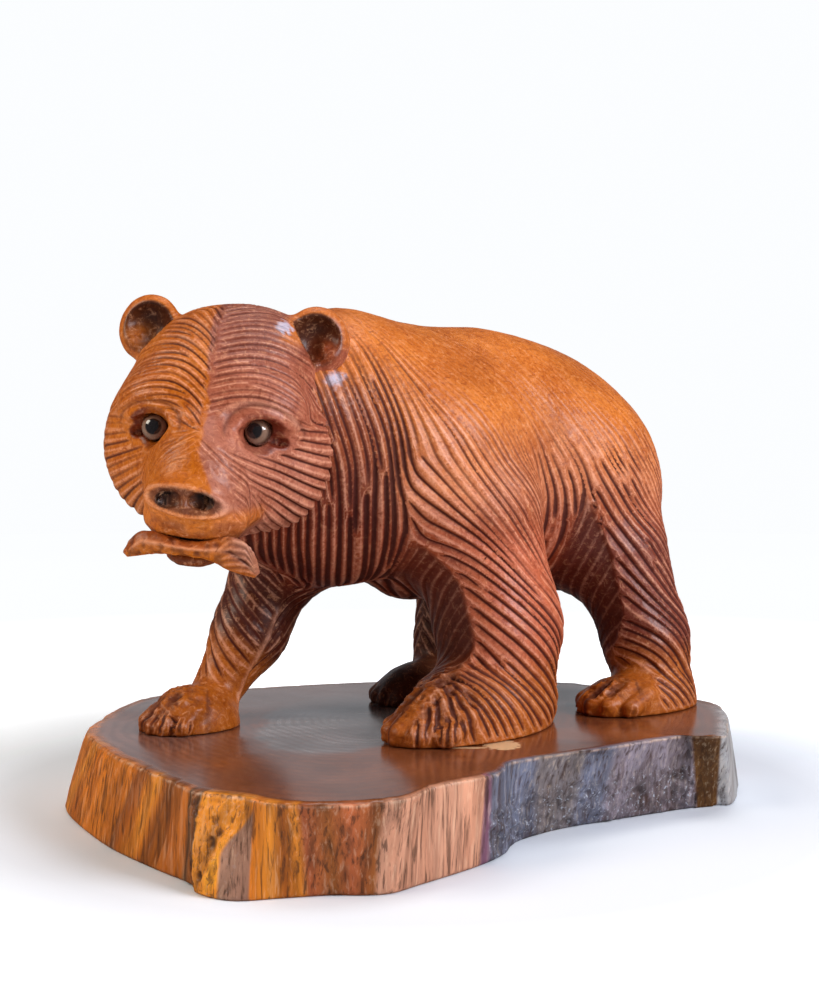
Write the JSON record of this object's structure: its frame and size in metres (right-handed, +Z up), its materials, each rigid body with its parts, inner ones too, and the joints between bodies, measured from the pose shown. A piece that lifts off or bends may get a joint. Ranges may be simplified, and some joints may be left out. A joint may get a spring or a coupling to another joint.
{
  "type": "carved bear sculpture",
  "caption": "Carved wooden bear walking with a small salmon in its jaws, gouged fur, glass eyes, standing on a natural-edge log slab; decorative tabletop sculpture.",
  "frame": {"origin": "middle of the bounding rectangle of the plinth's underside", "axes": "+Z up, +X towards the bear's left flank, -Y the way the bear walks; the head turns from -Y towards +X"},
  "size_m": [0.2022, 0.2461, 0.1775],
  "materials": {
    "bear_wood": "semi-gloss varnish over reddish-brown carved wood",
    "fish_wood": "semi-gloss varnish over golden-brown carved wood",
    "plinth_wood": "gloss varnish over dark wood, with grey and golden bark sides",
    "eye_glass": "polished dark amber glass, opaque"
  },
  "bodies": {
    "root": {"bear": "bear_wood", "fish": "fish_wood", "eye_left": "eye_glass", "eye_right": "eye_glass", "plinth": "plinth_wood"}
  },
  "joints": []
}
